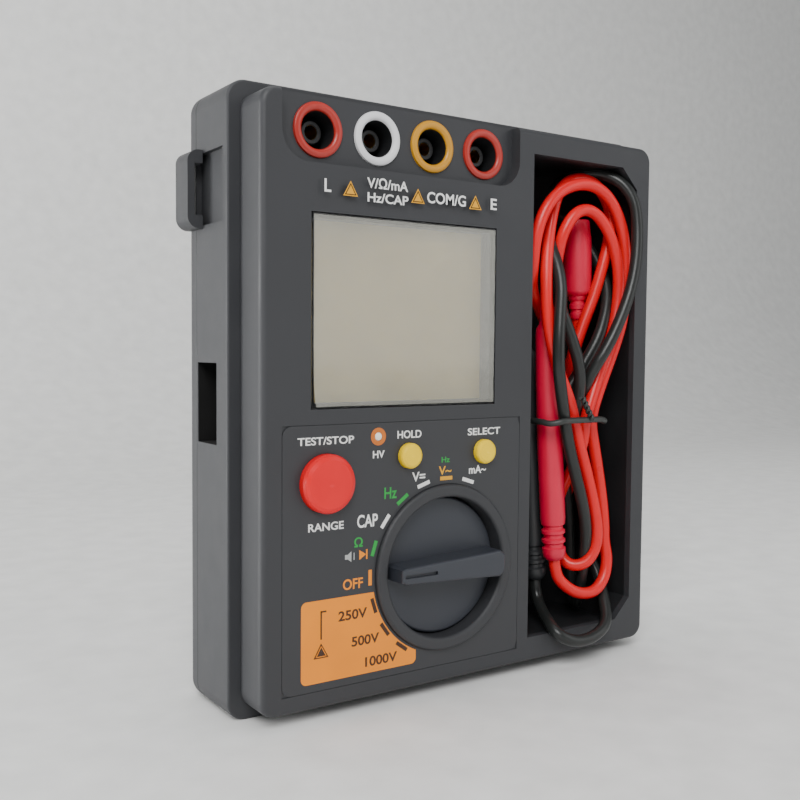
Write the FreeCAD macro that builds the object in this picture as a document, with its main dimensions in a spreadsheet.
"""Insulation resistance tester with its lead tray, as a parametric FreeCAD document.

Millimetres, +Z up, front facing -Y. The tester stands on the flat bottom of its case. Every
sub-part is modelled in the panel frame: X from the middle of the case, Y from the front face
of the bezel into the case, Z from the bottom. Each Placement then moves it by front_y, so that
the origin is at the middle of the whole depth.
"""
import FreeCAD, Part
import Sketcher
import math
import os

DOC = FreeCAD.newDocument("insulation_tester")
SHEET = DOC.addObject("Spreadsheet::Sheet", "Sizes")

SIZES = {
    # case; panel places are counted from the bezel's left edge and its bottom edge
    "bezel_width": 157.2, "bezel_height": 180.0, "bezel_depth": 14.0, "bezel_corner": 5.0,
    "bezel_edge": 2.0, "shoulder": 4.0, "case_corner": 6.0, "middle_depth": 22.5,
    "back_depth": 8.5, "back_edge": 5.5, "wall": 2.5, "flange": 2.0, "seam": 0.4,
    # pocket in the left side
    "slot_low": 77.8, "slot_height": 24.4, "slot_front": 21.6, "slot_depth": 14.0, "slot_reach": 9.0,
    "slot_wall": 1.5,
    # strap lugs and the strap recesses in front of them
    "lug_low": 142.5, "lug_height": 23.5, "lug_front": 31.5, "lug_width": 9.5, "lug_stand": 4.8,
    "lug_plate": 2.2, "lug_post": 4.0, "strap_front": 17.0, "strap_deep": 1.7,
    # lead tray, its right side and top counted from the bezel's right and top edges
    "tray_left": 100.3, "tray_side": 7.4, "tray_low": 8.5, "tray_top": 8.0, "tray_cut": 7.4,
    "tray_wall": 1.6, "tray_floor": 32.0,
    # screw posts, counted from the nearest side and end of the bezel
    "post_radius": 3.4, "post_gap": 0.3, "post_hole": 1.3, "left_post_side": 5.5, "left_post_top": 25.0,
    "left_post_foot": 5.5, "right_post_side": 5.5, "right_post_top": 5.5, "right_post_foot": 9.2,
    "screw_radius": 1.25, "screw_head": 2.8, "screw_long": 26.0, "screw_grip": 8.0,
    # display
    "window_left": 15.9, "window_width": 68.6, "window_low": 89.0, "window_height": 57.1,
    "lens_thick": 2.0, "ledge": 1.6, "lcd_front": 7.0, "lcd_thick": 2.2,
    "light_thick": 2.0, "frame_wall": 1.8, "lcd_margin": 2.4, "glass_gap": 0.15,
    # printed film on the lower panel
    "film_left": 6.5, "film_width": 89.0, "film_low": 5.5, "film_height": 79.0, "film_corner": 3.0,
    "film_thick": 0.4, "film_gap": 0.15,
    # jack recess and jacks, heights counted down from the top of the bezel
    "recess_left": 6.5, "recess_width": 87.5, "recess_tall": 20.0, "recess_corner": 8.5,
    "recess_depth": 4.3, "jack_first": 20.2, "jack_pitch": 20.5, "jack_down": 9.8,
    "ring_radius": 8.15, "ring_bore": 5.55, "ring_thick": 1.0, "socket_radius": 7.2,
    "socket_long": 24.0, "pin_hole": 2.05, "sleeve_radius": 2.9, "sleeve_front": 8.6,
    "jack_bottom": 1.6, "fit_gap": 0.05,
    # dial
    "dial_x": 65.0, "dial_z": 37.3, "collar_radius": 26.6, "collar_proud": 1.5,
    "well_radius": 22.5, "well_depth": 7.6, "well_floor": 1.6, "knob_gap": 0.5, "knob_face": 3.4,
    "hub_radius": 6.0, "hub_gap": 0.08, "handle_proud": 6.0, "handle_thin": 5.2, "handle_wide": 8.6,
    "rotor_radius": 16.5, "rotor_thick": 1.6, "rotor_gap": 0.1,
    # buttons and lamp
    "test_x": 21.0, "test_z": 67.2, "test_radius": 8.75, "test_proud": 3.6, "test_travel": 1.5,
    "hold_x": 50.5, "hold_z": 73.8, "select_x": 80.0, "select_z": 73.6, "key_radius": 3.95,
    "key_proud": 2.5, "key_travel": 0.8, "button_gap": 0.08, "button_flange": 1.3,
    "switch_side": 6.0, "lamp_x": 39.2, "lamp_z": 80.2, "lamp_radius": 1.45,
    # circuit board
    "board_front": 12.0, "board_thick": 1.6, "board_left": 3.6, "board_tray_gap": 2.6,
    "board_gap": 0.6, "boss_radius": 2.6,
    # batteries
    "cell_radius": 7.2, "cell_long": 50.0, "cell_pitch": 15.0, "bay_left": 3.5,
    "cell_depth": 35.7, "bay_wall": 1.5, "bay_low": 12.0, "spring_room": 6.5, "nub_room": 4.0,
    "bay_floor": 26.6, "spring_wire": 0.35, "spring_radius": 3.4, "plate_thick": 0.5,
    "door_thick": 1.8, "door_gap": 0.25, "door_ledge": 1.2,
    # feet
    "foot_radius": 5.0, "foot_proud": 1.0, "foot_sunk": 0.8, "foot_side": 13.0, "foot_low": 89.0,
    "foot_top": 20.0,
    # leads
    "cable_radius": 2.1, "probe_radius": 4.5, "tip_radius": 1.0, "plug_radius": 5.0,
    "tie_radius": 0.8,
}


class Size:
    """A number together with the expression that gives it, so both follow the sheet."""

    def __init__(self, value, text):
        self.value = value
        self.text = text

    @staticmethod
    def of(other):
        return other if isinstance(other, Size) else Size(float(other), f"{float(other)!r}")

    def joined(self, sign, other, value):
        return Size(value, f"({self.text} {sign} {Size.of(other).text})")

    def __add__(self, other):
        return self.joined("+", other, self.value + Size.of(other).value)

    def __sub__(self, other):
        return self.joined("-", other, self.value - Size.of(other).value)

    def __mul__(self, other):
        return self.joined("*", other, self.value * Size.of(other).value)

    def __truediv__(self, other):
        return self.joined("/", other, self.value / Size.of(other).value)

    def __radd__(self, other):
        return Size.of(other) + self

    def __rsub__(self, other):
        return Size.of(other) - self

    def __rmul__(self, other):
        return Size.of(other) * self

    def __neg__(self):
        return Size(-self.value, f"(-{self.text})")


def fill_sheet():
    """Writes the driving sizes into the sheet and returns them by name."""
    for row, (alias, value) in enumerate(SIZES.items(), start=1):
        SHEET.set(f"A{row}", alias)
        SHEET.set(f"B{row}", str(value))
        SHEET.setAlias(f"B{row}", alias)
    DOC.recompute()
    return {alias: Size(value, f"Sizes.{alias}") for alias, value in SIZES.items()}


s = fill_sheet()

# ---- sizes worked out from the sheet, in the panel frame ----
HALF_BEZEL = s["bezel_width"] / 2
HALF_CASE = HALF_BEZEL + s["shoulder"]
BEZEL_LOW = s["shoulder"]
BEZEL_HIGH = BEZEL_LOW + s["bezel_height"]
CASE_HIGH = BEZEL_HIGH + s["shoulder"]
MIDDLE_BACK = s["bezel_depth"] + s["middle_depth"]
CASE_BACK = MIDDLE_BACK + s["back_depth"]
FRONT_Y = (s["handle_proud"] - CASE_BACK - s["foot_proud"]) / 2
BOARD_BACK = s["board_front"] + s["board_thick"]
WELL_BACK = s["well_depth"] + s["well_floor"]
ROTOR_FRONT = WELL_BACK + s["rotor_gap"]
RECESS_FLOOR = s["recess_depth"] + s["wall"]
FLANGE_FRONT = s["wall"] + 0.02


def across(size):
    """A panel place counted from the bezel's left edge."""
    return size - HALF_BEZEL


def up(size):
    """A panel place counted from the bezel's bottom edge."""
    return size + BEZEL_LOW


WINDOW_LEFT, WINDOW_LOW = across(s["window_left"]), up(s["window_low"])
WINDOW_RIGHT, WINDOW_HIGH = WINDOW_LEFT + s["window_width"], WINDOW_LOW + s["window_height"]
FILM_LEFT, FILM_LOW = across(s["film_left"]), up(s["film_low"])
FILM_RIGHT, FILM_HIGH = FILM_LEFT + s["film_width"], FILM_LOW + s["film_height"]
RECESS_LEFT, RECESS_LOW = across(s["recess_left"]), BEZEL_HIGH - s["recess_tall"]
RECESS_RIGHT = RECESS_LEFT + s["recess_width"]
TRAY_LEFT, TRAY_RIGHT = across(s["tray_left"]), HALF_BEZEL - s["tray_side"]
TRAY_LOW, TRAY_HIGH = up(s["tray_low"]), BEZEL_HIGH - s["tray_top"]
JACKS = ("line", "volt", "common", "earth")
JACK_PLACES = [across(s["jack_first"] + s["jack_pitch"] * i) for i in range(len(JACKS))]
JACK_Z = BEZEL_HIGH - s["jack_down"]
DIAL_X, DIAL_Z = across(s["dial_x"]), up(s["dial_z"])
TEST_X, TEST_Z = across(s["test_x"]), up(s["test_z"])
LAMP_X, LAMP_Z = across(s["lamp_x"]), up(s["lamp_z"])
KEYS = [(name, across(s[name + "_x"]), up(s[name + "_z"])) for name in ("hold", "select")]
LEFT_POST_X = across(s["left_post_side"])
RIGHT_POST_X = HALF_BEZEL - s["right_post_side"]
SCREW_PLACES = [
    (LEFT_POST_X, BEZEL_HIGH - s["left_post_top"]), (LEFT_POST_X, up(s["left_post_foot"])),
    (RIGHT_POST_X, BEZEL_HIGH - s["right_post_top"]), (RIGHT_POST_X, up(s["right_post_foot"])),
]
BOARD_SCREWS = [
    (across(Size.of(14.6)), BEZEL_HIGH - 25.7), (across(Size.of(90.0)), BEZEL_HIGH - 25.7),
    (across(Size.of(12.5)), up(Size.of(41.0))), (across(Size.of(90.4)), up(Size.of(60.5))),
]
CELLS = 6
BAY_LEFT, BAY_LOW = across(s["bay_left"]), up(s["bay_low"])
BAY_RIGHT = BAY_LEFT + s["cell_pitch"] * CELLS
END_ROOM = s["spring_room"] + s["nub_room"]
BAY_HIGH = BAY_LOW + s["cell_long"] + END_ROOM
WIRE_SIDES = 8
PARTS = []


# ---- helpers ----
TURN_TO_Y = FreeCAD.Rotation(FreeCAD.Vector(1, 0, 0), -90)
TURN_TO_X = FreeCAD.Rotation(FreeCAD.Vector(0, 1, 0), 90)


def bind(thing, path, size):
    thing.setExpression(path, Size.of(size).text)


def place(thing, x=0, y=0, z=0):
    """Moves a finished sub-part by x, y, z and by the shift of the front face."""
    thing.Placement = FreeCAD.Placement(FreeCAD.Vector(0, 0, 0), thing.Placement.Rotation)
    bind(thing, ".Placement.Base.x", x)
    bind(thing, ".Placement.Base.y", Size.of(y) + FRONT_Y)
    bind(thing, ".Placement.Base.z", z)


def keep(thing, label, x=0, y=0, z=0):
    """Names a finished sub-part and puts it in its place."""
    place(thing, x, y, z)
    thing.Label = label
    PARTS.append(thing)
    return thing


def new_body(name):
    body = DOC.addObject("PartDesign::Body", name + "_body")
    return body


def new_sketch(body, name, plane="XZ_Plane", depth=0):
    """A sketch on one of the body's own origin planes. On XZ_Plane, depth runs along +Y."""
    sketch = body.newObject("Sketcher::SketchObject", name)
    origin_plane = [f for f in body.Origin.OriginFeatures if f.Role == plane][0]
    sketch.AttachmentSupport = [(origin_plane, "")]
    sketch.MapMode = "FlatFace"
    sign = -1 if plane == "XZ_Plane" else 1
    bind(sketch, ".AttachmentOffset.Base.z", Size.of(depth) * sign)
    return sketch


def pin_point(sketch, geo, end, x, z):
    """Holds one point of the sketch at x, z from the origin."""
    for kind, size in (("DistanceX", Size.of(x)), ("DistanceY", Size.of(z))):
        index = sketch.addConstraint(Sketcher.Constraint(kind, -1, 1, geo, end, size.value))
        bind(sketch, f"Constraints[{index}]", size)


def draw_circle(sketch, x, z, radius):
    x, z, radius = Size.of(x), Size.of(z), Size.of(radius)
    centre = FreeCAD.Vector(x.value, z.value, 0)
    geo = sketch.addGeometry(Part.Circle(centre, FreeCAD.Vector(0, 0, 1), radius.value))
    pin_point(sketch, geo, 3, x, z)
    index = sketch.addConstraint(Sketcher.Constraint("Radius", geo, radius.value))
    bind(sketch, f"Constraints[{index}]", radius)


def draw_polygon(sketch, corners):
    """A closed outline through corners, each a pair of sizes."""
    corners = [(Size.of(x), Size.of(z)) for x, z in corners]
    points = [FreeCAD.Vector(x.value, z.value, 0) for x, z in corners]
    count = len(points)
    first = None
    for i in range(count):
        line = Part.LineSegment(points[i], points[(i + 1) % count])
        geo = sketch.addGeometry(line)
        first = geo if first is None else first
        pin_point(sketch, geo, 1, *corners[i])
    for i in range(count):
        following = first + (i + 1) % count
        sketch.addConstraint(Sketcher.Constraint("Coincident", first + i, 2, following, 1))


def draw_rectangle(sketch, left, right, low, high):
    draw_polygon(sketch, [(left, low), (right, low), (right, high), (left, high)])


def raise_pad(body, sketch, length, name, inward=True):
    pad = body.newObject("PartDesign::Pad", name)
    pad.Profile = sketch
    pad.Reversed = inward
    bind(pad, "Length", length)
    body.Tip = pad
    return pad


def sink_pocket(body, sketch, length, name):
    """Cuts from the sketch inwards, along +Y, and makes sure that it did cut."""
    before = volume_of(body)
    pocket = body.newObject("PartDesign::Pocket", name)
    pocket.Profile = sketch
    pocket.Reversed = False
    bind(pocket, "Length", length)
    body.Tip = pocket
    DOC.recompute()
    if not volume_of(body) < before:
        raise ValueError(f"{name} cut nothing")
    return pocket


def volume_of(body):
    DOC.recompute()
    return body.Shape.Volume


def round_edges(body, radius, name, chosen):
    """Fillets the edges of the body's tip for which chosen(edge) is true."""
    DOC.recompute()
    tip = body.Tip
    names = [f"Edge{i}" for i, e in enumerate(tip.Shape.Edges, start=1) if chosen(e)]
    if not names:
        raise ValueError(f"{name} found no edge")
    fillet = body.newObject("PartDesign::Fillet", name)
    fillet.Base = (tip, names)
    bind(fillet, "Radius", radius)
    body.Tip = fillet
    return fillet


def runs_along(edge, axis):
    """True for a straight edge along axis, 0 for X, 1 for Y and 2 for Z."""
    if not isinstance(edge.Curve, Part.Line):
        return False
    return abs(edge.Curve.Direction[axis]) > 0.999


def lies_at(edge, depth):
    """True for an edge that lies wholly at this depth."""
    box = edge.BoundBox
    return abs(box.YMin - depth) < 0.01 and abs(box.YMax - depth) < 0.01


def turned(label, profile, x, z, y=0):
    """A piece turned about an axis along Y: profile is pairs of radius and depth."""
    body = new_body(label)
    sketch = new_sketch(body, label + "_profile", "XY_Plane")
    draw_polygon(sketch, profile)
    turn = body.newObject("PartDesign::Revolution", label + "_turn")
    turn.Profile = sketch
    turn.ReferenceAxis = (sketch, ["V_Axis"])
    turn.Angle = 360.0
    body.Tip = turn
    return keep(body, label, x, y, z)


def block(name, x0, x1, y0, y1, z0, z1):
    """A plain box between its two corners, as a primitive."""
    box = DOC.addObject("Part::Box", name)
    low = [Size.of(v) for v in (x0, y0, z0)]
    high = [Size.of(v) for v in (x1, y1, z1)]
    for side, a, b in zip(("Length", "Width", "Height"), low, high):
        bind(box, side, b - a)
    for axis, a in zip("xyz", low):
        bind(box, f".Placement.Base.{axis}", a)
    return box


def rod(name, x, z, radius, y0, y1):
    """A round bar along Y, as a primitive."""
    bar = DOC.addObject("Part::Cylinder", name)
    bar.Placement = FreeCAD.Placement(FreeCAD.Vector(0, 0, 0), TURN_TO_Y)
    bind(bar, "Radius", radius)
    bind(bar, "Height", Size.of(y1) - y0)
    for axis, size in zip("xyz", (x, y0, z)):
        bind(bar, f".Placement.Base.{axis}", size)
    return bar


def post(name, x, y, radius, z0, z1):
    """A round bar along Z, as a primitive."""
    bar = DOC.addObject("Part::Cylinder", name)
    bind(bar, "Radius", radius)
    bind(bar, "Height", Size.of(z1) - z0)
    for axis, size in zip("xyz", (x, y, z0)):
        bind(bar, f".Placement.Base.{axis}", size)
    return bar


def coil_spring(name, radius, rise, turns):
    """A helical spring of eight-sided wire, standing on the origin along Z."""
    wire = SIZES["spring_wire"]
    helix = Part.makeHelix(rise.value / turns, rise.value, radius)
    corners = []
    for i in range(WIRE_SIDES + 1):
        turn = math.tau * i / WIRE_SIDES
        corners.append(FreeCAD.Vector(radius + wire * math.cos(turn), 0, wire * math.sin(turn)))
    section = Part.makePolygon(corners)
    spring = DOC.addObject("Part::Feature", name)
    spring.Shape = Part.Wire(helix.Edges).makePipeShell([section], True, True)
    return spring


def joined(name, pieces):
    fuse = DOC.addObject("Part::MultiFuse", name)
    fuse.Shapes = pieces
    return fuse


def grouped(name, pieces):
    """Several separate solids of one kind, kept as one sub-part."""
    group = DOC.addObject("Part::Compound", name)
    group.Links = pieces
    return group


def cut_from(name, base, tool):
    cut = DOC.addObject("Part::Cut", name)
    cut.Base = base
    cut.Tool = tool
    return cut


# ---- case ----
def tray_outline(grow=0):
    """The tray's opening: a tall rectangle whose two right corners are cut for the screw posts."""
    left, right = TRAY_LEFT - grow, TRAY_RIGHT + grow
    low, high = TRAY_LOW - grow, TRAY_HIGH + grow
    cut = s["tray_cut"] + Size.of(grow) * 0.4
    return [(left, low), (right - cut, low), (right, low + cut), (right, high - cut),
            (right - cut, high), (left, high)]


def make_front_cover():
    """The bezel: a shallow shell with every opening of the panel, moulded in one piece."""
    body = new_body("front_cover")
    block_sketch = new_sketch(body, "bezel_outline")
    draw_rectangle(block_sketch, -HALF_BEZEL, HALF_BEZEL, BEZEL_LOW, BEZEL_HIGH)
    raise_pad(body, block_sketch, s["bezel_depth"], "bezel_block")
    round_edges(body, s["bezel_corner"], "bezel_corners", lambda e: runs_along(e, 1))
    round_edges(body, s["bezel_edge"], "bezel_front_edge", lambda e: lies_at(e, 0))

    inner_x, inner_low, inner_high = HALF_BEZEL - s["wall"], BEZEL_LOW + s["wall"], BEZEL_HIGH - s["wall"]
    deep = new_sketch(body, "hollow_behind_recess", depth=RECESS_FLOOR)
    draw_rectangle(deep, -inner_x, inner_x, inner_low, inner_high)
    sink_pocket(body, deep, s["bezel_depth"], "deep_hollow")
    shallow = new_sketch(body, "hollow_behind_panel", depth=s["wall"])
    draw_polygon(shallow, [
        (-inner_x, inner_low), (inner_x, inner_low), (inner_x, inner_high),
        (RECESS_RIGHT + s["wall"], inner_high), (RECESS_RIGHT + s["wall"], RECESS_LOW - s["wall"]),
        (-inner_x, RECESS_LOW - s["wall"])])
    sink_pocket(body, shallow, s["recess_depth"] + 0.5, "panel_hollow")

    well = new_sketch(body, "dial_well_outline", depth=s["wall"] / 2)
    draw_circle(well, DIAL_X, DIAL_Z, s["well_radius"] + 1.8)
    raise_pad(body, well, WELL_BACK - s["wall"] / 2, "dial_well_block")
    posts = new_sketch(body, "screw_posts_outline", depth=s["wall"] / 2)
    for x, z in SCREW_PLACES:
        draw_circle(posts, x, z, s["post_radius"])
    raise_pad(body, posts, s["bezel_depth"] - s["wall"] / 2, "screw_posts")
    bosses = new_sketch(body, "board_bosses_outline", depth=s["wall"] / 2)
    for x, z in BOARD_SCREWS:
        draw_circle(bosses, x, z, s["boss_radius"])
    raise_pad(body, bosses, s["board_front"] - s["wall"] / 2, "board_bosses")
    film = new_sketch(body, "film_seat_outline", depth=-1)
    draw_rectangle(film, FILM_LEFT, FILM_RIGHT, FILM_LOW, FILM_HIGH)
    sink_pocket(body, film, s["film_thick"] + 1, "film_seat")
    collar = new_sketch(body, "collar_outline", depth=-s["collar_proud"])
    draw_circle(collar, DIAL_X, DIAL_Z, s["collar_radius"])
    raise_pad(body, collar, s["collar_proud"] + s["wall"] / 2, "dial_collar")

    well_cut = new_sketch(body, "well_cut", depth=-s["collar_proud"] - 1)
    draw_circle(well_cut, DIAL_X, DIAL_Z, s["well_radius"])
    sink_pocket(body, well_cut, s["well_depth"] + s["collar_proud"] + 1, "dial_well")
    round_edges(body, 1.1, "collar_rounding", lambda e: lies_at(e, -SIZES["collar_proud"]))
    hub_cut = new_sketch(body, "hub_cut", depth=s["well_depth"] - 1)
    draw_circle(hub_cut, DIAL_X, DIAL_Z, s["hub_radius"] + s["hub_gap"])
    sink_pocket(body, hub_cut, s["well_floor"] + 2, "dial_hub_hole")

    lens = new_sketch(body, "lens_seat_outline", depth=-1)
    draw_rectangle(lens, WINDOW_LEFT, WINDOW_RIGHT, WINDOW_LOW, WINDOW_HIGH)
    sink_pocket(body, lens, s["lens_thick"] + 1, "lens_seat")
    view = new_sketch(body, "view_outline", depth=-1)
    draw_rectangle(view, WINDOW_LEFT + s["ledge"], WINDOW_RIGHT - s["ledge"],
                   WINDOW_LOW + s["ledge"], WINDOW_HIGH - s["ledge"])
    sink_pocket(body, view, s["wall"] + 2, "view_opening")

    recess = new_sketch(body, "recess_outline", depth=-1)
    draw_rectangle(recess, RECESS_LEFT, RECESS_RIGHT, RECESS_LOW, BEZEL_HIGH + 1)
    sink_pocket(body, recess, s["recess_depth"] + 1, "jack_recess")
    round_edges(body, s["recess_corner"], "recess_corners", lambda e: (
        runs_along(e, 1) and abs(e.BoundBox.Center.z - RECESS_LOW.value) < 0.01
        and e.BoundBox.YMax < s["recess_depth"].value + 0.01))
    holes = new_sketch(body, "hole_outlines", depth=-1)
    for x in JACK_PLACES:
        draw_circle(holes, x, JACK_Z, s["socket_radius"])
    draw_circle(holes, TEST_X, TEST_Z, s["test_radius"] + s["button_gap"])
    for _, x, z in KEYS:
        draw_circle(holes, x, z, s["key_radius"] + s["button_gap"])
    draw_circle(holes, LAMP_X, LAMP_Z, s["lamp_radius"] + s["fit_gap"])
    sink_pocket(body, holes, RECESS_FLOOR + 2, "panel_holes")
    tray = new_sketch(body, "tray_opening_outline", depth=-1)
    draw_polygon(tray, tray_outline())
    sink_pocket(body, tray, s["wall"] + 2, "tray_opening")
    pilot = new_sketch(body, "pilot_holes", depth=s["wall"] + 1)
    for x, z in SCREW_PLACES:
        draw_circle(pilot, x, z, s["post_hole"])
    for x, z in BOARD_SCREWS:
        draw_circle(pilot, x, z, s["post_hole"])
    sink_pocket(body, pilot, s["bezel_depth"], "pilot_hole")
    keep(body, "front_cover")


def make_middle_case():
    """The deep rim behind the bezel, 4 mm larger all round, with the pocket in its left side."""
    body = new_body("middle_case")
    outline = new_sketch(body, "middle_outline", depth=s["bezel_depth"])
    draw_rectangle(outline, -HALF_CASE, HALF_CASE, 0, CASE_HIGH)
    raise_pad(body, outline, s["middle_depth"], "middle_block")
    round_edges(body, s["case_corner"], "middle_corners", lambda e: runs_along(e, 1))
    round_edges(body, s["seam"] * 2, "shoulder_edge", lambda e: lies_at(e, SIZES["bezel_depth"]))
    round_edges(body, s["seam"], "middle_seam", lambda e: lies_at(e, MIDDLE_BACK.value))
    hollow = new_sketch(body, "middle_hollow", depth=s["bezel_depth"] + s["flange"])
    draw_rectangle(hollow, -HALF_CASE + s["wall"], HALF_CASE - s["wall"], s["wall"], CASE_HIGH - s["wall"])
    sink_pocket(body, hollow, s["middle_depth"], "inside")
    mouth = new_sketch(body, "middle_mouth", depth=s["bezel_depth"] - 1)
    draw_rectangle(mouth, -HALF_BEZEL + s["wall"], HALF_BEZEL - s["wall"],
                   BEZEL_LOW + s["wall"], BEZEL_HIGH - s["wall"])
    sink_pocket(body, mouth, s["flange"] + 2, "mouth")
    clear = new_sketch(body, "post_clearances", depth=s["bezel_depth"] - 1)
    for x, z in SCREW_PLACES:
        draw_circle(clear, x, z, s["post_radius"] + s["post_gap"])
    sink_pocket(body, clear, s["flange"] + 2, "post_clearance")
    slot_low, slot_high = up(s["slot_low"]), up(s["slot_low"] + s["slot_height"])
    rim = s["slot_wall"]
    pocket = new_sketch(body, "pocket_block_outline", depth=s["slot_front"] - rim)
    draw_rectangle(pocket, -HALF_CASE + s["wall"] / 2, -HALF_CASE + s["slot_reach"] + rim,
                   slot_low - rim, slot_high + rim)
    raise_pad(body, pocket, MIDDLE_BACK - s["slot_front"] + rim, "pocket_block")
    slot = new_sketch(body, "slot_outline", depth=s["slot_front"])
    draw_rectangle(slot, -HALF_CASE - 1, -HALF_CASE + s["slot_reach"], slot_low, slot_high)
    sink_pocket(body, slot, s["slot_depth"], "side_slot")
    lug_low, lug_high = up(s["lug_low"]), up(s["lug_low"] + s["lug_height"])
    backing = new_sketch(body, "strap_backing_outline", depth=s["bezel_depth"] + s["flange"] / 2)
    seats = new_sketch(body, "strap_recess_outline", depth=s["strap_front"])
    for side in (-1, 1):
        near, far = sorted((HALF_CASE * side - s["wall"] / 2 * side,
                            HALF_CASE * side - (s["wall"] + s["strap_deep"]) * side), key=lambda v: v.value)
        draw_rectangle(backing, near, far, lug_low - 1, lug_high + 1)
        near, far = sorted((HALF_CASE * side + side, HALF_CASE * side - s["strap_deep"] * side),
                           key=lambda v: v.value)
        draw_rectangle(seats, near, far, lug_low + 1, lug_high - 1)
    raise_pad(body, backing, MIDDLE_BACK - s["bezel_depth"] - s["flange"] / 2, "strap_backings")
    sink_pocket(body, seats, MIDDLE_BACK, "strap_recesses")
    keep(body, "middle_case")


def make_back_cover():
    """The back shell with the battery bay, its door opening and the seats of the feet."""
    body = new_body("back_cover")
    outline = new_sketch(body, "back_outline", depth=MIDDLE_BACK)
    draw_rectangle(outline, -HALF_CASE, HALF_CASE, 0, CASE_HIGH)
    raise_pad(body, outline, s["back_depth"], "back_block")
    round_edges(body, s["case_corner"], "back_corners", lambda e: runs_along(e, 1))
    round_edges(body, s["back_edge"], "back_rounding", lambda e: lies_at(e, CASE_BACK.value))
    round_edges(body, s["seam"], "back_seam", lambda e: lies_at(e, MIDDLE_BACK.value))
    hollow = new_sketch(body, "back_hollow", depth=MIDDLE_BACK - 1)
    reach = s["wall"] + 1
    draw_rectangle(hollow, -HALF_CASE + reach, HALF_CASE - reach, reach, CASE_HIGH - reach)
    sink_pocket(body, hollow, s["back_depth"] - s["wall"] + 1, "back_inside")
    bay = new_sketch(body, "bay_outline", depth=s["bay_floor"] - s["bay_wall"])
    draw_rectangle(bay, BAY_LEFT - s["bay_wall"], BAY_RIGHT + s["bay_wall"],
                   BAY_LOW - s["bay_wall"], BAY_HIGH + s["bay_wall"])
    raise_pad(body, bay, CASE_BACK - s["bay_floor"] + s["bay_wall"] - 1, "bay_block")
    bay_cut = new_sketch(body, "bay_cut", depth=s["bay_floor"])
    draw_rectangle(bay_cut, BAY_LEFT, BAY_RIGHT, BAY_LOW, BAY_HIGH)
    sink_pocket(body, bay_cut, CASE_BACK, "battery_bay")
    rib = new_sketch(body, "door_rib_outline", depth=CASE_BACK - s["door_thick"] - 1.5)
    middle = (BAY_LEFT + BAY_RIGHT) / 2
    draw_rectangle(rib, middle - 3.2, middle + 3.2, BAY_HIGH - 4.3, BAY_HIGH + s["bay_wall"] / 2)
    raise_pad(body, rib, 1.4, "door_rib")
    rib_hole = new_sketch(body, "door_rib_hole", depth=CASE_BACK - s["door_thick"] - 4)
    draw_circle(rib_hole, middle, BAY_HIGH - 2.2, 1.3)
    sink_pocket(body, rib_hole, 5, "rib_hole")
    ledge = s["door_ledge"] + s["door_gap"]
    door = new_sketch(body, "door_seat_outline", depth=CASE_BACK - s["door_thick"])
    draw_rectangle(door, BAY_LEFT - ledge, BAY_RIGHT + ledge, BAY_LOW - ledge, BAY_HIGH + ledge)
    sink_pocket(body, door, s["door_thick"] + 1, "door_seat")
    posts = new_sketch(body, "back_posts_outline", depth=s["bezel_depth"] + s["fit_gap"])
    for x, z in SCREW_PLACES:
        draw_circle(posts, x, z, s["post_radius"])
    raise_pad(body, posts, CASE_BACK - s["bezel_depth"] - s["wall"] / 2, "back_posts")
    bores = new_sketch(body, "screw_bores", depth=s["bezel_depth"] - 1)
    for x, z in SCREW_PLACES:
        draw_circle(bores, x, z, s["screw_radius"] + 0.3)
    sink_pocket(body, bores, CASE_BACK, "screw_bore")
    heads = new_sketch(body, "head_bores", depth=s["bezel_depth"] + s["screw_long"] - s["screw_grip"])
    for x, z in SCREW_PLACES:
        draw_circle(heads, x, z, s["screw_head"] + 0.2)
    sink_pocket(body, heads, CASE_BACK, "head_bore")
    feet = new_sketch(body, "foot_seats", depth=CASE_BACK - s["foot_sunk"])
    for x, z in foot_places():
        draw_circle(feet, x, z, s["foot_radius"] + 0.1)
    sink_pocket(body, feet, s["foot_sunk"] + 1, "foot_seat")
    keep(body, "back_cover")


def foot_places():
    side = HALF_CASE - s["foot_side"]
    return [(x, z) for x in (-side, side) for z in (up(s["foot_low"]), CASE_HIGH - s["foot_top"])]


def make_battery_door():
    """The flat door over the cells, with the head of its captive screw sunk in it."""
    body = new_body("battery_door")
    outline = new_sketch(body, "door_outline", depth=CASE_BACK - s["door_thick"] + 0.02)
    edge = s["door_ledge"]
    draw_rectangle(outline, BAY_LEFT - edge, BAY_RIGHT + edge, BAY_LOW - edge, BAY_HIGH + edge)
    raise_pad(body, outline, s["door_thick"] - 0.02, "door_plate")
    round_edges(body, s["door_gap"] * 2, "door_corners", lambda e: runs_along(e, 1))
    middle = (BAY_LEFT + BAY_RIGHT) / 2
    high = BAY_HIGH - 2.2
    seat = new_sketch(body, "door_screw_seat", depth=CASE_BACK - 0.9)
    draw_circle(seat, middle, high, 2.6)
    sink_pocket(body, seat, 2, "screw_seat")
    hole = new_sketch(body, "door_screw_hole", depth=CASE_BACK - 4)
    draw_circle(hole, middle, high, 1.3)
    sink_pocket(body, hole, 6, "screw_hole")
    keep(body, "battery_door")
    turned("door_screw", [
        (0, CASE_BACK - 4), (1.2, CASE_BACK - 4), (1.2, CASE_BACK - 0.85), (2.4, CASE_BACK - 0.85),
        (2.4, CASE_BACK - 0.1), (0.9, CASE_BACK - 0.1), (0.9, CASE_BACK - 0.6), (0, CASE_BACK - 0.6)],
        middle, high)


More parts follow.
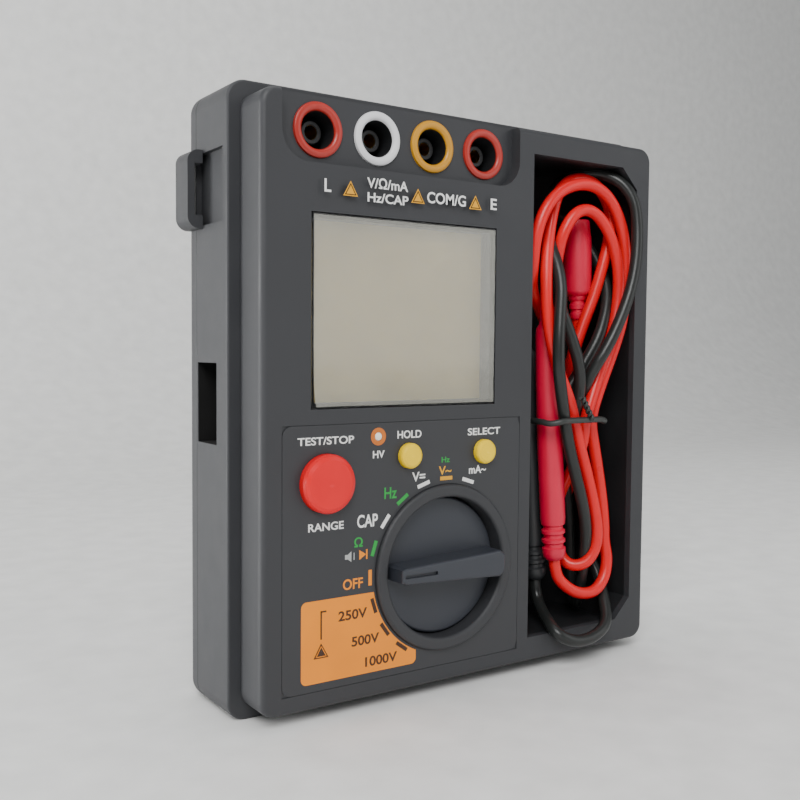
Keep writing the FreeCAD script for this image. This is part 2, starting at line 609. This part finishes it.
def make_lead_tray():
    """The black box behind the tray opening, where the leads are kept."""
    body = new_body("lead_tray")
    outline = new_sketch(body, "tray_outer", depth=s["wall"])
    draw_polygon(outline, tray_outline(s["tray_wall"]))
    raise_pad(body, outline, s["tray_floor"] + s["tray_wall"] - s["wall"], "tray_block")
    inner = new_sketch(body, "tray_inner", depth=s["wall"] - 1)
    draw_polygon(inner, tray_outline())
    sink_pocket(body, inner, s["tray_floor"] - s["wall"] + 1, "tray_inside")
    keep(body, "lead_tray")


def make_strap_lug(label, side):
    """A strap lug on one side: two posts that carry a bar plate clear of the case wall."""
    x_wall = HALF_CASE * side
    x_in = (HALF_CASE + s["lug_stand"] - s["lug_plate"]) * side
    x_out = (HALF_CASE + s["lug_stand"]) * side
    near, far = (x_out, x_wall) if side < 0 else (x_wall, x_out)
    plate_near, plate_far = (x_out, x_in) if side < 0 else (x_in, x_out)
    y0, y1 = s["lug_front"], s["lug_front"] + s["lug_width"]
    low, high = up(s["lug_low"]), up(s["lug_low"] + s["lug_height"])
    plate = block(label + "_plate", plate_near, plate_far, y0, y1, low, high)
    feet = [
        block(label + "_foot_low", near, far, y0, y1, low, low + s["lug_post"]),
        block(label + "_foot_high", near, far, y0, y1, high - s["lug_post"], high),
    ]
    whole = joined(label + "_whole", [plate] + feet)
    DOC.recompute()
    rounding = DOC.addObject("Part::Fillet", label + "_rounded")
    rounding.Base = whole
    outer = x_out.value
    edges = [i for i, e in enumerate(whole.Shape.Edges, start=1)
             if runs_along(e, 1) and abs(e.BoundBox.Center.x - outer) < 0.01
             and (abs(e.BoundBox.Center.z - low.value) < 0.01 or abs(e.BoundBox.Center.z - high.value) < 0.01)]
    radius = SIZES["lug_stand"] * 0.75
    rounding.Edges = [(i, radius, radius) for i in edges]
    keep(rounding, label)


# ---- display ----
def plate(label, left, right, low, high, front, thickness):
    """A flat rectangular sheet that lies parallel to the panel."""
    body = new_body(label)
    outline = new_sketch(body, label + "_outline", depth=front)
    draw_rectangle(outline, left, right, low, high)
    raise_pad(body, outline, thickness, label + "_sheet")
    return body


def make_display():
    """Window lens, liquid crystal glass, its frame and the light behind it."""
    gap = s["glass_gap"]
    lens = plate("display_window", WINDOW_LEFT + gap, WINDOW_RIGHT - gap, WINDOW_LOW + gap, WINDOW_HIGH - gap,
                 0, s["lens_thick"])
    round_edges(lens, 0.3, "lens_edge", lambda e: lies_at(e, 0))
    keep(lens, "display_window")
    margin = s["lcd_margin"]
    left, right = WINDOW_LEFT - margin, WINDOW_RIGHT + margin
    low, high = WINDOW_LOW - margin, WINDOW_HIGH + margin
    lcd_back = s["lcd_front"] + s["lcd_thick"]
    keep(plate("lcd_panel", left, right, low, high, s["lcd_front"], s["lcd_thick"]), "lcd_panel")
    keep(plate("backlight_panel", left, right, low, high, lcd_back, s["light_thick"]), "backlight_panel")
    wall, clear = s["frame_wall"], 0.1
    body = new_body("lcd_frame")
    rim = new_sketch(body, "lcd_frame_outer", depth=s["wall"])
    draw_rectangle(rim, left - wall - clear, right + wall + clear, low - wall - clear, high + wall + clear)
    raise_pad(body, rim, s["board_front"] - s["wall"], "lcd_frame_block")
    seat = new_sketch(body, "lcd_frame_seat", depth=s["lcd_front"])
    draw_rectangle(seat, left - clear, right + clear, low - clear, high + clear)
    sink_pocket(body, seat, s["board_front"], "lcd_seat")
    view = new_sketch(body, "lcd_frame_view", depth=0)
    draw_rectangle(view, WINDOW_LEFT + s["ledge"], WINDOW_RIGHT - s["ledge"],
                   WINDOW_LOW + s["ledge"], WINDOW_HIGH - s["ledge"])
    sink_pocket(body, view, s["lcd_front"] + 1, "lcd_view")
    keep(body, "lcd_frame")


def make_panel_film():
    """The printed film of the lower panel, let into the bezel, with holes for the controls."""
    gap = s["film_gap"]
    body = new_body("panel_film")
    outline = new_sketch(body, "film_outline")
    draw_rectangle(outline, FILM_LEFT + gap, FILM_RIGHT - gap, FILM_LOW + gap, FILM_HIGH - gap)
    raise_pad(body, outline, s["film_thick"], "film_sheet")
    round_edges(body, s["film_corner"], "film_corners", lambda e: runs_along(e, 1))
    holes = new_sketch(body, "film_holes", depth=-1)
    draw_circle(holes, DIAL_X, DIAL_Z, s["collar_radius"] + gap)
    draw_circle(holes, TEST_X, TEST_Z, s["test_radius"] + s["button_gap"])
    for _, x, z in KEYS:
        draw_circle(holes, x, z, s["key_radius"] + s["button_gap"])
    draw_circle(holes, LAMP_X, LAMP_Z, s["lamp_radius"] + s["fit_gap"])
    sink_pocket(body, holes, s["film_thick"] + 2, "film_hole")
    keep(body, "panel_film")


# ---- jacks ----
def make_jacks():
    """Four safety jacks: a coloured ring, a black shroud and a sprung contact sleeve."""
    face = s["recess_depth"] - s["ring_thick"]
    back = s["recess_depth"] + s["socket_long"]
    floor = back - s["jack_bottom"]
    body_radius = s["socket_radius"] - s["fit_gap"]
    sleeves = []
    for label, x in zip(JACKS, JACK_PLACES):
        outer, bore = s["ring_radius"], s["ring_bore"]
        turned(f"jack_ring_{label}", [
            (bore, face), (outer - 0.4, face), (outer, face + 0.4), (outer, s["recess_depth"]),
            (bore, s["recess_depth"])], x, JACK_Z)
        turned(f"jack_socket_{label}", [
            (bore, s["recess_depth"]), (body_radius, s["recess_depth"]), (body_radius, back), (0, back),
            (0, floor), (bore, floor)],
            x, JACK_Z)
        sleeve = cut_from(f"sleeve_{label}",
                          rod(f"sleeve_outer_{label}", x, JACK_Z, s["sleeve_radius"],
                              s["sleeve_front"], floor),
                          rod(f"sleeve_bore_{label}", x, JACK_Z, s["pin_hole"],
                              s["sleeve_front"] - 1, floor - 1.4))
        sleeves.append(sleeve)
    keep(grouped("sleeves", sleeves), "jack_contacts")


# ---- dial ----
def make_dial():
    """The selector knob with its bar grip, and the rotor that it turns behind the panel."""
    knob_radius = s["well_radius"] - s["knob_gap"]
    disc_back = s["well_depth"] - s["knob_gap"]
    body = new_body("dial_knob")
    disc = new_sketch(body, "knob_outline", depth=s["knob_face"])
    draw_circle(disc, 0, 0, knob_radius)
    raise_pad(body, disc, disc_back - s["knob_face"], "knob_disc")
    round_edges(body, 0.8, "knob_edge", lambda e: lies_at(e, SIZES["knob_face"]))
    grip = new_sketch(body, "grip_outline", depth=-s["handle_proud"])
    reach = knob_radius - 0.4
    thin, wide = s["handle_thin"] / 2, s["handle_wide"] / 2
    draw_polygon(grip, [(-reach + 1.2, -thin + 0.6), (-reach + 3, -thin), (reach - 3.4, -wide), (reach - 1.4, -wide + 1.4),
                        (reach - 1.4, wide - 1.4), (reach - 3.4, wide), (-reach + 3, thin), (-reach + 1.2, thin - 0.6)])
    raise_pad(body, grip, s["handle_proud"] + s["knob_face"] + 0.5, "knob_grip")
    round_edges(body, 0.9, "grip_edge", lambda e: lies_at(e, -SIZES["handle_proud"]))
    groove = new_sketch(body, "groove_outline", depth=-s["handle_proud"] - 1)
    draw_rectangle(groove, -reach + 2.2, -reach / 3, -0.55, 0.55)
    sink_pocket(body, groove, 1.9, "pointer_groove")
    hub = new_sketch(body, "hub_outline", depth=disc_back - 0.5)
    draw_circle(hub, 0, 0, s["hub_radius"])
    raise_pad(body, hub, ROTOR_FRONT - disc_back + 0.5, "knob_hub")
    keep(body, "dial_knob", DIAL_X, 0, DIAL_Z)

    body = new_body("switch_rotor")
    plate = new_sketch(body, "rotor_outline", depth=ROTOR_FRONT)
    draw_circle(plate, 0, 0, s["rotor_radius"])
    raise_pad(body, plate, s["rotor_thick"], "rotor_disc")
    notch = new_sketch(body, "rotor_notch", depth=ROTOR_FRONT - 1)
    draw_circle(notch, s["rotor_radius"], 0, 1.1)
    first = sink_pocket(body, notch, s["rotor_thick"] + 2, "rotor_first_notch")
    ring = body.newObject("PartDesign::PolarPattern", "rotor_notches")
    ring.Originals = [first]
    y_axis = [f for f in body.Origin.OriginFeatures if f.Role == "Y_Axis"][0]
    ring.Axis = (y_axis, [""])
    ring.Angle = 360.0
    ring.Occurrences = 20
    body.Tip = ring
    keep(body, "switch_rotor", DIAL_X, 0, DIAL_Z)

    back = ROTOR_FRONT + s["rotor_thick"]
    wipers = []
    for i, (angle, radius) in enumerate(((0, 13.0), (90, 10.0), (180, 13.0), (270, 10.0))):
        dx, dz = math.cos(math.radians(angle)) * radius, math.sin(math.radians(angle)) * radius
        wipers.append(block(f"wiper_{i}", dx - 1.4, dx + 1.4, back, s["board_front"] - 0.08, dz - 1.4, dz + 1.4))
    keep(grouped("wipers", wipers), "rotor_wipers", DIAL_X, 0, DIAL_Z)

    leaf = block("leaf_arm", -9, 9, ROTOR_FRONT + 0.2, ROTOR_FRONT + 1.4,
                 s["rotor_radius"] + 1.9, s["rotor_radius"] + 2.3)
    bump = post("leaf_bump", 0, 0, 0.9, 0, 1.2)
    bump.Placement = FreeCAD.Placement(FreeCAD.Vector(0, 0, 0), TURN_TO_Y)
    bind(bump, ".Placement.Base.x", 0)
    bind(bump, ".Placement.Base.y", ROTOR_FRONT + 0.2)
    bind(bump, ".Placement.Base.z", s["rotor_radius"] + 1.1)
    feet = [block(f"leaf_foot_{side}", x0, x0 + 1.2, WELL_BACK, ROTOR_FRONT + 1.4,
                  s["rotor_radius"] + 1.9, s["rotor_radius"] + 4.9) for side, x0 in (("left", -9), ("right", 7.8))]
    keep(joined("leaf", [leaf, bump] + feet), "detent_spring", DIAL_X, 0, DIAL_Z)


# ---- buttons and lamp ----
def make_buttons():
    """The red test button with its spring and switch, and two small yellow keys."""
    flange_front = s["wall"] + 0.02
    flange_back = flange_front + s["button_flange"]
    stem_end = s["board_front"] - s["test_travel"] - 2.6
    r, proud = s["test_radius"], s["test_proud"]
    turned("test_button", [
        (0, -proud), (r - 1.6, -proud + 0.15), (r - 0.5, -proud + 0.7), (r, -proud + 1.6), (r, flange_front),
        (r + 1.2, flange_front), (r + 1.2, flange_back), (2.4, flange_back), (2.4, stem_end), (0, stem_end)],
        TEST_X, TEST_Z)
    wire = s["spring_wire"]
    spring = coil_spring("test_spring_coil", 4.6, s["board_front"] - flange_back - wire * 2, 5)
    spring.Placement = FreeCAD.Placement(FreeCAD.Vector(0, 0, 0), TURN_TO_Y)
    keep(spring, "test_spring", TEST_X, flange_back + wire, TEST_Z)
    side = s["switch_side"] / 2
    body_front = s["board_front"] - 2.0
    case = block("test_switch_case", -side, side, body_front, s["board_front"], -side, side)
    plunger = rod("test_switch_plunger", 0, 0, 1.6, stem_end + s["test_travel"] + 0.05, body_front + 0.2)
    keep(joined("test_switch_whole", [case, plunger]), "test_switch", TEST_X, 0, TEST_Z)

    key_stem = s["board_front"] - s["key_travel"] - 4.2
    k, proud = s["key_radius"], s["key_proud"]
    switches = []
    for label, x, z in KEYS:
        turned(f"{label}_button", [
            (0, -proud), (k - 1.0, -proud + 0.1), (k - 0.3, -proud + 0.5), (k, -proud + 1.1), (k, flange_front),
            (k + 0.9, flange_front), (k + 0.9, flange_back - 0.3), (1.6, flange_back - 0.3), (1.6, key_stem),
            (0, key_stem)], x, z)
        case = block(f"{label}_case", x - side, x + side, s["board_front"] - 3.6, s["board_front"],
                     z - side, z + side)
        tip = rod(f"{label}_plunger", x, z, 1.5, key_stem + s["key_travel"] + 0.05, s["board_front"] - 3.4)
        switches.append(joined(f"{label}_switch", [case, tip]))
    keep(grouped("key_switch_pair", switches), "key_switches")
    lamp = s["lamp_radius"]
    dome = turned("hv_lamp", [
        (0, -0.5), (lamp * 0.7, -0.3), (lamp, 0.3), (lamp, 4.2), (lamp + 0.45, 4.2), (lamp + 0.45, 5.2),
        (0.6, 5.2), (0.6, s["board_front"]), (0, s["board_front"])], LAMP_X, LAMP_Z)
    return dome


# ---- circuit board and what stands on it ----
def make_board():
    """The main board, with holes for the jacks and the parts on its back."""
    body = new_body("main_board")
    outline = new_sketch(body, "board_outline", depth=s["board_front"])
    low = SCREW_PLACES[1][1] + s["post_radius"] + s["board_gap"]
    high = BEZEL_HIGH - s["wall"] - s["board_gap"]
    draw_rectangle(outline, across(s["board_left"]), TRAY_LEFT - s["board_tray_gap"], low, high)
    raise_pad(body, outline, s["board_thick"], "board_sheet")
    holes = new_sketch(body, "board_holes", depth=s["board_front"] - 1)
    for x in JACK_PLACES:
        draw_circle(holes, x, JACK_Z, s["socket_radius"] + s["board_gap"])
    sink_pocket(body, holes, s["board_thick"] + 2, "board_hole")
    corner = new_sketch(body, "board_post_notch", depth=s["board_front"] - 1)
    post_x, post_z = SCREW_PLACES[0]
    reach = s["post_radius"] + s["board_gap"]
    draw_rectangle(corner, across(s["board_left"]) - 1, post_x + reach, post_z - reach, post_z + reach)
    sink_pocket(body, corner, s["board_thick"] + 2, "post_notch")
    bores = new_sketch(body, "board_screw_holes", depth=s["board_front"] - 1)
    for x, z in BOARD_SCREWS:
        draw_circle(bores, x, z, s["screw_radius"])
    sink_pocket(body, bores, s["board_thick"] + 2, "board_screw_hole")
    keep(body, "main_board")
    screws = []
    for i, (x, z) in enumerate(BOARD_SCREWS):
        head = rod(f"board_screw_head_{i}", x, z, 2.4, BOARD_BACK, BOARD_BACK + 1.5)
        shank = rod(f"board_screw_shank_{i}", x, z, 1.1, s["board_front"] - 5, BOARD_BACK + 0.5)
        screws.append(joined(f"board_screw_{i}", [head, shank]))
    keep(grouped("board_screw_group", screws), "board_screws")

    core = block("transformer_core", -66, -40, BOARD_BACK, BOARD_BACK + 5, 92, 116)
    top = block("transformer_top", -66, -40, BOARD_BACK + 11, BOARD_BACK + 16, 92, 116)
    coil = block("transformer_coil", -62, -44, BOARD_BACK + 0.5, BOARD_BACK + 15, 95, 113)
    keep(joined("transformer_whole", [core, top, coil]), "hv_transformer")
    cans = [rod(f"capacitor_{i}", -28 + 14 * i, 104, 5.0, BOARD_BACK, BOARD_BACK + 18) for i in range(3)]
    keep(grouped("capacitor_group", cans), "hv_capacitors")
    fuse_y = BOARD_BACK + 4.4
    glass = DOC.addObject("Part::Cylinder", "fuse_tube")
    glass.Placement = FreeCAD.Placement(FreeCAD.Vector(0, 0, 0), TURN_TO_X)
    bind(glass, "Radius", 3.175)
    bind(glass, "Height", 31.8)
    bind(glass, ".Placement.Base.y", fuse_y)
    bind(glass, ".Placement.Base.x", -64)
    bind(glass, ".Placement.Base.z", 132)
    clips = [block(f"fuse_clip_{i}", x, x + 6, BOARD_BACK, fuse_y, 128.2, 135.8) for i, x in enumerate((-63.5, -38.7))]
    keep(joined("fuse_whole", [glass] + clips), "fuse")
    buzzer = joined("buzzer_whole", [rod("buzzer_can", -8, 138, 9.5, BOARD_BACK, BOARD_BACK + 7),
                                     rod("buzzer_rim", -8, 138, 10.2, BOARD_BACK, BOARD_BACK + 1.2)])
    keep(buzzer, "buzzer")


# ---- batteries ----
def make_batteries():
    """Six AA cells side by side, turned end for end, with coil springs and contact plates."""
    y = s["cell_depth"]
    half_plate, sheet = 5.5, s["plate_thick"]
    springs, plates = [], []
    for i in range(CELLS):
        x = BAY_LEFT + s["cell_pitch"] * (i + 0.5)
        upright = i % 2 == 0
        low = BAY_LOW + (s["spring_room"] if upright else s["nub_room"])
        high = low + s["cell_long"]
        can_low, can_high = (low, high - 1.2) if upright else (low + 1.2, high)
        can = post(f"cell_can_{i}", x, y, s["cell_radius"], can_low, can_high)
        nub_low, nub_high = (high - 2, high) if upright else (low, low + 2)
        nub = post(f"cell_nub_{i}", x, y, 2.7, nub_low, nub_high)
        keep(joined(f"cell_{i + 1}_whole", [can, nub]), f"battery_{i + 1}")
        wire = s["spring_wire"]
        spring = coil_spring(f"cell_spring_{i}", SIZES["spring_radius"], s["spring_room"] - sheet - wire * 2, 4)
        spring_low = BAY_LOW + sheet if upright else high
        for axis, size in zip("xyz", (x, y, spring_low + wire)):
            bind(spring, f".Placement.Base.{axis}", size)
        springs.append(spring)
        low_plate = block(f"low_plate_{i}", x - half_plate, x + half_plate, y - half_plate, y + half_plate,
                          BAY_LOW, BAY_LOW + sheet)
        high_plate = block(f"high_plate_{i}", x - half_plate, x + half_plate, y - half_plate, y + half_plate,
                           BAY_HIGH - sheet, BAY_HIGH)
        pad_low, pad_high = (high, BAY_HIGH - sheet / 2) if upright else (BAY_LOW + sheet / 2, low)
        pad = post(f"nub_pad_{i}", x, y, 2.4, pad_low, pad_high)
        touched, plain = (high_plate, low_plate) if upright else (low_plate, high_plate)
        plates += [joined(f"nub_plate_{i}", [touched, pad]), plain]
    keep(grouped("spring_group", springs), "battery_springs")
    keep(grouped("plate_group", plates), "battery_plates")


# ---- fasteners and feet ----
def make_fasteners():
    """Four case screws from the back, and four rubber feet."""
    screws = []
    for i, (x, z) in enumerate(SCREW_PLACES):
        start = s["bezel_depth"] - s["screw_grip"]
        head_at = start + s["screw_long"]
        shank = rod(f"case_screw_shank_{i}", x, z, s["screw_radius"], start, head_at + 0.5)
        head = rod(f"case_screw_head_{i}", x, z, s["screw_head"], head_at, head_at + 2)
        screws.append(joined(f"case_screw_{i}", [shank, head]))
    keep(grouped("case_screw_group", screws), "case_screws")
    feet = [rod(f"foot_{i}", x, z, s["foot_radius"], CASE_BACK - s["foot_sunk"], CASE_BACK + s["foot_proud"])
            for i, (x, z) in enumerate(foot_places())]
    keep(grouped("foot_group", feet), "rubber_feet")


# ---- leads ----
def rounded_path(points):
    """Straight runs joined by tangent arcs, each arc as large as its two runs allow."""
    vectors = [FreeCAD.Vector(*p) for p in points]
    edges, radii, start = [], [], vectors[0]
    for before, corner, after in zip(vectors, vectors[1:], vectors[2:]):
        inward, outward = (corner - before), (after - corner)
        reach = 0.45 * min(inward.Length, outward.Length)
        inward.normalize()
        outward.normalize()
        half_turn = inward.getAngle(outward) / 2
        first, last = corner - inward * reach, corner + outward * reach
        radius = reach / math.tan(half_turn)
        middle_way = (outward - inward).normalize()
        middle = corner + middle_way * (radius / math.cos(half_turn) - radius)
        edges += [Part.LineSegment(start, first).toShape(), Part.Arc(first, middle, last).toShape()]
        radii.append(radius)
        start = last
    edges.append(Part.LineSegment(start, vectors[-1]).toShape())
    return Part.Wire(edges), radii


def make_tube(label, points):
    """A round cable along a hand-chosen route."""
    radius = SIZES["cable_radius"]
    path, radii = rounded_path(points)
    run = FreeCAD.Vector(*points[1]) - FreeCAD.Vector(*points[0])
    section = Part.Wire([Part.makeCircle(radius, FreeCAD.Vector(*points[0]), run)])
    solid = path.makePipeShell([section], True, False)
    expected = math.pi * radius ** 2 * path.Length
    print(f"{label}: {path.Length:.0f} mm, radii {[round(r, 1) for r in radii]}, "
          f"volume {solid.Volume:.0f} of {expected:.0f}")
    feature = DOC.addObject("Part::Feature", label + "_tube")
    feature.Shape = solid
    keep(feature, label)


def make_hank(label, outline, front, back):
    """The closed outer shape of a folded lead."""
    body = new_body(label)
    sketch = new_sketch(body, label + "_outline", depth=front)
    draw_polygon(sketch, outline)
    raise_pad(body, sketch, back - front, label + "_pad")
    keep(body, label)


def turned_upright(label, profile, foot, lean):
    """A piece turned about its own long axis, standing at foot and leaning by lean degrees."""
    body = new_body(label)
    sketch = new_sketch(body, label + "_profile", "XZ_Plane")
    draw_polygon(sketch, profile)
    turn = body.newObject("PartDesign::Revolution", label + "_turn")
    turn.Profile = sketch
    turn.ReferenceAxis = (sketch, ["V_Axis"])
    turn.Angle = 360.0
    body.Tip = turn
    body.Placement = FreeCAD.Placement(FreeCAD.Vector(0, 0, 0), FreeCAD.Rotation(FreeCAD.Vector(0, 1, 0), lean))
    keep(body, label, *foot)


RED_TAIL = [(40.6, 7.5, 36.2), (41.1, 7.5, 30.6), (44.8, 6.2, 26.0), (50.2, 4.6, 22.8),
            (56.8, 3.4, 22.8), (61.8, 3.4, 27.4), (63.8, 4.0, 34.4), (62.8, 5.0, 41.0),
            (62.8, 5.0, 46.0)]
BLACK_TAIL = [(39.9, 16.9, 27.5), (40.4, 16.9, 21.4), (38.0, 10.8, 17.0), (33.4, 2.4, 16.0),
              (31.6, -3.4, 13.4), (36.4, -5.6, 10.4), (43.6, -5.6, 9.4), (50.6, -5.2, 10.8),
              (56.6, -3.2, 13.4), (61.0, 2.4, 18.8), (64.6, 8.8, 26.0), (63.6, 13.0, 33.4),
              (60.8, 13.0, 40.6), (60.8, 13.0, 46.0)]
PROBE_LEAN = -4.1
RED_PROBE_FOOT = (40.6, 7.5, 36.2)
BLACK_PROBE_FOOT = (39.9, 16.9, 27.5)


def make_leads():
    """Two test leads folded in the tray: probes, plugs, free stretches, hanks and a twist tie."""
    for colour, foot in (("red", RED_PROBE_FOOT), ("black", BLACK_PROBE_FOOT)):
        grip = s["probe_radius"]
        turned_upright(f"{colour}_probe", [
            (0, 0), (3.0, 0), (grip - 0.3, 1.5), (grip - 0.3, 10), (grip, 11.5), (grip, 40), (grip - 0.6, 70),
            (grip - 1.0, 82), (2.2, 84), (1.6, 92), (0, 92)], foot, PROBE_LEAN)
        turned_upright(f"{colour}_probe_tip", [
            (0, 92), (s["tip_radius"], 92), (s["tip_radius"], 104), (0.25, 107), (0, 107)], foot, PROBE_LEAN)
    for colour, foot, lean in (("red", (56.4, 14.0, 122.0), -2.0), ("black", (30.0, 26.4, 56.0), 180.0)):
        turned_upright(f"{colour}_plug", [
            (0, 0), (2.6, 0), (3.4, 8), (s["plug_radius"], 10), (s["plug_radius"], 30), (s["plug_radius"] - 0.6, 36),
            (3.1, 36), (3.1, 22), (2.0, 22), (2.0, 35), (1.4, 35.8), (0, 35.8)], foot, lean)
    make_tube("red_lead_tail", RED_TAIL)
    make_tube("black_lead_tail", BLACK_TAIL)
    hank = [(26.0, 150.0), (25.6, 156.0), (29.0, 166.0), (38.0, 172.4), (53.0, 172.6), (64.0, 165.0), (68.4, 152.0),
            (68.6, 134.0), (62.0, 112.0), (53.6, 94.0), (53.0, 80.0), (64.0, 62.0), (66.0, 46.0), (58.0, 46.0),
            (56.0, 35.2), (50.0, 36.0), (46.2, 60.0), (43.4, 84.0), (39.2, 124.0)]
    make_hank("red_lead_hank", hank, Size.of(0.2), Size.of(8.7))
    make_hank("black_lead_hank", hank, Size.of(8.8), Size.of(20.5))
    make_twist_tie()


def make_twist_tie():
    """A wire tie round both hanks and both probes: an oval loop with twisted ends."""
    radius = SIZES["tie_radius"]
    x0, x1, y0, y1, z = 30.0, 57.6, -2.7, 22.4, 86.0
    turn = 6.0
    points = [(x1 - turn, y0), (x1, y0 + turn), (x1, y1 - turn), (x1 - turn, y1),
              (x0 + turn, y1), (x0, y1 - turn), (x0, y0 + turn), (x0 + turn, y0)]
    corners = [FreeCAD.Vector(x, y, z) for x, y in points]
    bend = turn * (1 - math.sqrt(0.5))
    middles = [FreeCAD.Vector(x1 - bend, y0 + bend, z), FreeCAD.Vector(x1 - bend, y1 - bend, z),
               FreeCAD.Vector(x0 + bend, y1 - bend, z), FreeCAD.Vector(x0 + bend, y0 + bend, z)]
    edges = []
    for i in range(4):
        edges.append(Part.Arc(corners[2 * i], middles[i], corners[2 * i + 1]).toShape())
        edges.append(Part.LineSegment(corners[2 * i + 1], corners[(2 * i + 2) % 8]).toShape())
    section = Part.Wire([Part.makeCircle(radius, corners[0], FreeCAD.Vector(1, 0, 0))])
    loop = Part.Wire(edges).makePipeShell([section], True, False)
    feature = DOC.addObject("Part::Feature", "tie_loop")
    feature.Shape = loop
    keep(feature, "twist_tie")


make_front_cover()
make_middle_case()
make_back_cover()
make_battery_door()
make_lead_tray()
make_strap_lug("strap_lug_left", -1)
make_strap_lug("strap_lug_right", 1)
make_display()
make_panel_film()
make_jacks()
make_dial()
make_buttons()
make_board()
make_batteries()
make_fasteners()
make_leads()
DOC.recompute()

for thing in DOC.Objects:
    if {"Invalid", "Error"} & set(thing.State):
        raise ValueError(f"{thing.Name} ({thing.Label}) failed: {thing.State}")
for part in PARTS:
    if part.Shape.isNull() or not part.Shape.isValid() or not part.Shape.Solids:
        raise ValueError(f"{part.Label} has no valid solid")

os.makedirs("parts", exist_ok=True)
for part in PARTS:
    part.Shape.exportStep(f"parts/{part.Label}.step")
print(len(PARTS), "parts written")
